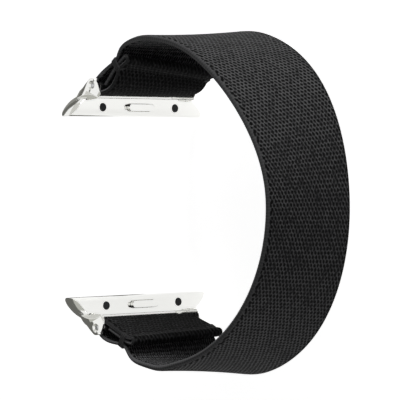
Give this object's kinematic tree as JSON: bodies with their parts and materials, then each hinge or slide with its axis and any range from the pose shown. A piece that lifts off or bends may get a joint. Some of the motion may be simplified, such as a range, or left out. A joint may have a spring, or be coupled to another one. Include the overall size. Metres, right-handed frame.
{
  "type": "elastic watch band",
  "caption": "Elastic woven strap in a closed loop, folded and sewn round a spring bar at each end, with polished steel slide-in connectors that swivel on the bars and lock with a sprung button.",
  "frame": {"origin": "bottom centre of the bounding box: the level of the lower lug ends, midway between the two ends of the band and midway from the underside of the wrist to the front of the connectors", "axes": "+Z is the axis of the loop, across the strap, and points to the band's left edge. +X runs to the upper end, the one above the watch. +Y points away from the wrist's underside to the front of the watch, so the loop hangs towards -Y and the connectors are at +Y."},
  "size_m": [0.0668, 0.0517, 0.0352],
  "materials": {
    "webbing": "woven elastic webbing",
    "polished_steel": "polished stainless steel",
    "bar_steel": "turned stainless steel",
    "spring_wire": "drawn spring wire",
    "grip_rubber": "moulded, matt"
  },
  "bodies": {
    "strap": {"strap": "webbing"},
    "bars": {"upper_bar_barrel": "bar_steel", "upper_bar_spring": "spring_wire", "lower_bar_barrel": "bar_steel", "lower_bar_spring": "spring_wire"},
    "upper_connector": {"upper_connector": "polished_steel", "upper_lock_springs": "spring_wire", "upper_lock_cover": "polished_steel", "upper_cover_screws": "bar_steel", "upper_grip_pads": "grip_rubber"},
    "lower_connector": {"lower_connector": "polished_steel", "lower_lock_springs": "spring_wire", "lower_lock_cover": "polished_steel", "lower_cover_screws": "bar_steel", "lower_grip_pads": "grip_rubber"},
    "upper_lock_button": {"upper_lock_button": "polished_steel"},
    "lower_lock_button": {"lower_lock_button": "polished_steel"},
    "upper_left_tip": {"upper_left_tip": "bar_steel"},
    "upper_right_tip": {"upper_right_tip": "bar_steel"},
    "lower_left_tip": {"lower_left_tip": "bar_steel"},
    "lower_right_tip": {"lower_right_tip": "bar_steel"}
  },
  "joints": [
    {"name": "strap_stretch", "type": "slide", "parent": "strap", "child": "bars", "axis": [0, 1, 0], "range_m": [0, 0.012], "stiffness_N_per_m": 800, "deforming": ["strap"]},
    {"name": "upper_swivel", "type": "hinge", "parent": "bars", "child": "upper_connector", "pos_m": [0.0232, 0.0208, 0.01758], "axis": [0, 0, 1], "range_deg": [-90, 75]},
    {"name": "lower_swivel", "type": "hinge", "parent": "bars", "child": "lower_connector", "pos_m": [-0.0236, 0.0208, 0.01758], "axis": [0, 0, -1], "range_deg": [-90, 75]},
    {"name": "upper_lock_press", "type": "slide", "parent": "upper_connector", "child": "upper_lock_button", "axis": [0, 1, 0], "range_m": [0, 0.0008], "stiffness_N_per_m": 800, "springref_m": -0.0008, "deforming": ["upper_lock_springs"]},
    {"name": "lower_lock_press", "type": "slide", "parent": "lower_connector", "child": "lower_lock_button", "axis": [0, 1, 0], "range_m": [0, 0.0008], "stiffness_N_per_m": 800, "springref_m": -0.0008, "deforming": ["lower_lock_springs"]},
    {"name": "upper_left_tip_press", "type": "slide", "parent": "bars", "child": "upper_left_tip", "axis": [0, 0, -1], "range_m": [0, 0.00115], "stiffness_N_per_m": 500, "springref_m": -0.0015, "deforming": ["upper_bar_spring"]},
    {"name": "upper_right_tip_press", "type": "slide", "parent": "bars", "child": "upper_right_tip", "axis": [0, 0, 1], "range_m": [0, 0.00115], "stiffness_N_per_m": 500, "springref_m": -0.0015, "deforming": ["upper_bar_spring"]},
    {"name": "lower_left_tip_press", "type": "slide", "parent": "bars", "child": "lower_left_tip", "axis": [0, 0, -1], "range_m": [0, 0.00115], "stiffness_N_per_m": 500, "springref_m": -0.0015, "deforming": ["lower_bar_spring"]},
    {"name": "lower_right_tip_press", "type": "slide", "parent": "bars", "child": "lower_right_tip", "axis": [0, 0, 1], "range_m": [0, 0.00115], "stiffness_N_per_m": 500, "springref_m": -0.0015, "deforming": ["lower_bar_spring"]}
  ]
}
